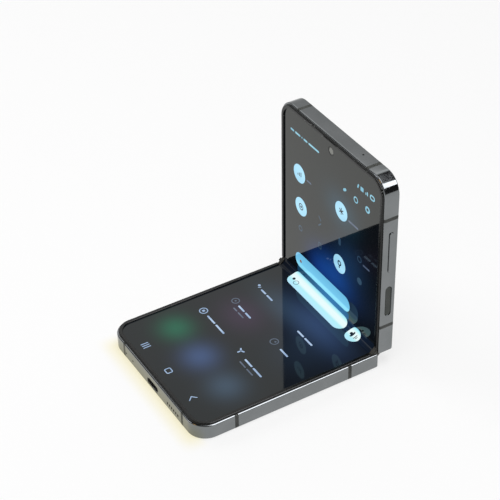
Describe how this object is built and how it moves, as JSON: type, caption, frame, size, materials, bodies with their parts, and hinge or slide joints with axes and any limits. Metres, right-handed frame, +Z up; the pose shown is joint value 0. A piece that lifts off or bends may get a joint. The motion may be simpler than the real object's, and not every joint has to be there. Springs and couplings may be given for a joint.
{
  "type": "foldable smartphone",
  "caption": "Clamshell smartphone with a flexible inner display that folds across its short middle line on a two-axis hinge, standing half open.",
  "frame": {"origin": "centre of the lower half's flat back, on the surface the phone lies on", "axes": "+X along the hinge towards the side with the keys, +Y from the charging port towards the hinge, +Z up away from the lower half's back"},
  "size_m": [0.0724, 0.0908, 0.0892],
  "materials": {
    "graphite_metal": "polished, dark graphite",
    "spine_metal": "polished, dark graphite",
    "key_metal": "satin, near black",
    "camera_ring_metal": "polished",
    "band_plastic": "matt",
    "bezel_plastic": "glossy",
    "back_glass": "gloss, tinted glass backed with a dark coat",
    "display_glass": "gloss, opaque display under thin glass",
    "carrier_steel": "brushed",
    "hinge_steel": "brushed",
    "gear_brass": "machined",
    "battery_pouch": "matt",
    "coil_copper": "enamelled copper",
    "board": "solder mask",
    "flex_film": "polyimide film",
    "black_plastic": "matt",
    "lens_glass": "coated",
    "flash_diffuser": "diffusing"
  },
  "bodies": {
    "lower_half": {"frame_lower": "graphite_metal", "antenna_bands_lower": "band_plastic", "bezel_lower": "bezel_plastic", "back_glass": "back_glass", "display_panel_lower": "display_glass", "display_plate_lower": "carrier_steel", "battery_lower": "battery_pouch", "charging_coil": "coil_copper", "sub_board": "board", "usb_port_shell": "carrier_steel", "usb_tongue": "black_plastic", "loudspeaker": "black_plastic", "speaker_mesh": "black_plastic", "bottom_microphones": "black_plastic", "vibration_motor": "black_plastic", "hinge_arm_lower_left": "hinge_steel", "hinge_arm_lower_right": "hinge_steel", "arm_screws_lower": "hinge_steel"},
    "spine": {"hinge_spine": "spine_metal", "end_cap_left": "bezel_plastic", "end_cap_right": "bezel_plastic", "hinge_bracket_left": "hinge_steel", "hinge_bracket_right": "hinge_steel", "gear_housing": "hinge_steel", "display_fold": "display_glass", "hinge_flex": "flex_film"},
    "upper_half": {"frame_upper": "graphite_metal", "antenna_bands_upper": "band_plastic", "bezel_upper": "bezel_plastic", "cover_glass": "back_glass", "cover_display": "display_glass", "display_panel_upper": "display_glass", "display_plate_upper": "carrier_steel", "battery_upper": "battery_pouch", "main_board": "board", "shield_cans": "carrier_steel", "selfie_camera": "black_plastic", "selfie_lens": "lens_glass", "camera_wide": "black_plastic", "camera_ultrawide": "black_plastic", "camera_ring_wide": "camera_ring_metal", "camera_ring_ultrawide": "camera_ring_metal", "camera_lens_glass": "lens_glass", "flash_lens": "flash_diffuser", "earpiece": "black_plastic", "button_switches": "flex_film", "sim_cage": "carrier_steel", "hinge_arm_upper_left": "hinge_steel", "hinge_arm_upper_right": "hinge_steel", "arm_screws_upper": "hinge_steel"},
    "timing_lower": {"sync_gear_lower": "gear_brass", "torque_arm_lower": "hinge_steel"},
    "idler_lower": {"idler_gear_lower": "gear_brass"},
    "idler_upper": {"idler_gear_upper": "gear_brass"},
    "timing_upper": {"sync_gear_upper": "gear_brass", "torque_arm_upper": "hinge_steel"},
    "volume_rocker": {"volume_rocker": "graphite_metal"},
    "power_button": {"power_button": "key_metal"},
    "sim_tray": {"sim_tray": "graphite_metal"}
  },
  "joints": [
    {"name": "lower_fold", "type": "hinge", "parent": "lower_half", "child": "spine", "pos_m": [0, 0.03968, 0.00595], "axis": [1, 0, 0], "range_deg": [-44.9, 45.1], "deforming": ["display_fold", "hinge_flex"]},
    {"name": "upper_fold", "type": "hinge", "parent": "spine", "child": "upper_half", "pos_m": [0, 0.04194, 0.00821], "axis": [1, 0, 0], "range_deg": [-44.9, 45.1]},
    {"name": "lower_timing_turn", "type": "hinge", "parent": "spine", "child": "timing_lower", "pos_m": [0, 0.03987, 0.00377], "axis": [1, 0, 0], "range_deg": [-45.1, 44.9]},
    {"name": "lower_idler_turn", "type": "hinge", "parent": "spine", "child": "idler_lower", "pos_m": [0, 0.04129, 0.00518], "axis": [1, 0, 0], "range_deg": [-44.9, 45.1]},
    {"name": "upper_idler_turn", "type": "hinge", "parent": "spine", "child": "idler_upper", "pos_m": [0, 0.04271, 0.00659], "axis": [1, 0, 0], "range_deg": [-45.1, 44.9]},
    {"name": "upper_timing_turn", "type": "hinge", "parent": "spine", "child": "timing_upper", "pos_m": [0, 0.04412, 0.008], "axis": [1, 0, 0], "range_deg": [-44.9, 45.1]},
    {"name": "volume_rock", "type": "hinge", "parent": "upper_half", "child": "volume_rocker", "pos_m": [0.03352, 0.04486, 0.0562], "axis": [0, -1, 0.0035], "range_deg": [-1.2, 1.2], "stiffness_Nm_per_rad": 0.5},
    {"name": "power_press", "type": "slide", "parent": "upper_half", "child": "power_button", "axis": [-1, 0, 0], "range_m": [0, 0.00025], "stiffness_N_per_m": 400},
    {"name": "tray_slide", "type": "slide", "parent": "upper_half", "child": "sim_tray", "axis": [-1, 0, 0], "range_m": [0, 0.0145]}
  ],
  "couplings": [
    {"joint": "upper_fold", "follows": "lower_fold", "ratio": 1},
    {"joint": "lower_timing_turn", "follows": "lower_fold", "ratio": -1},
    {"joint": "lower_idler_turn", "follows": "lower_fold", "ratio": 1},
    {"joint": "upper_idler_turn", "follows": "lower_fold", "ratio": -1},
    {"joint": "upper_timing_turn", "follows": "lower_fold", "ratio": 1}
  ]
}
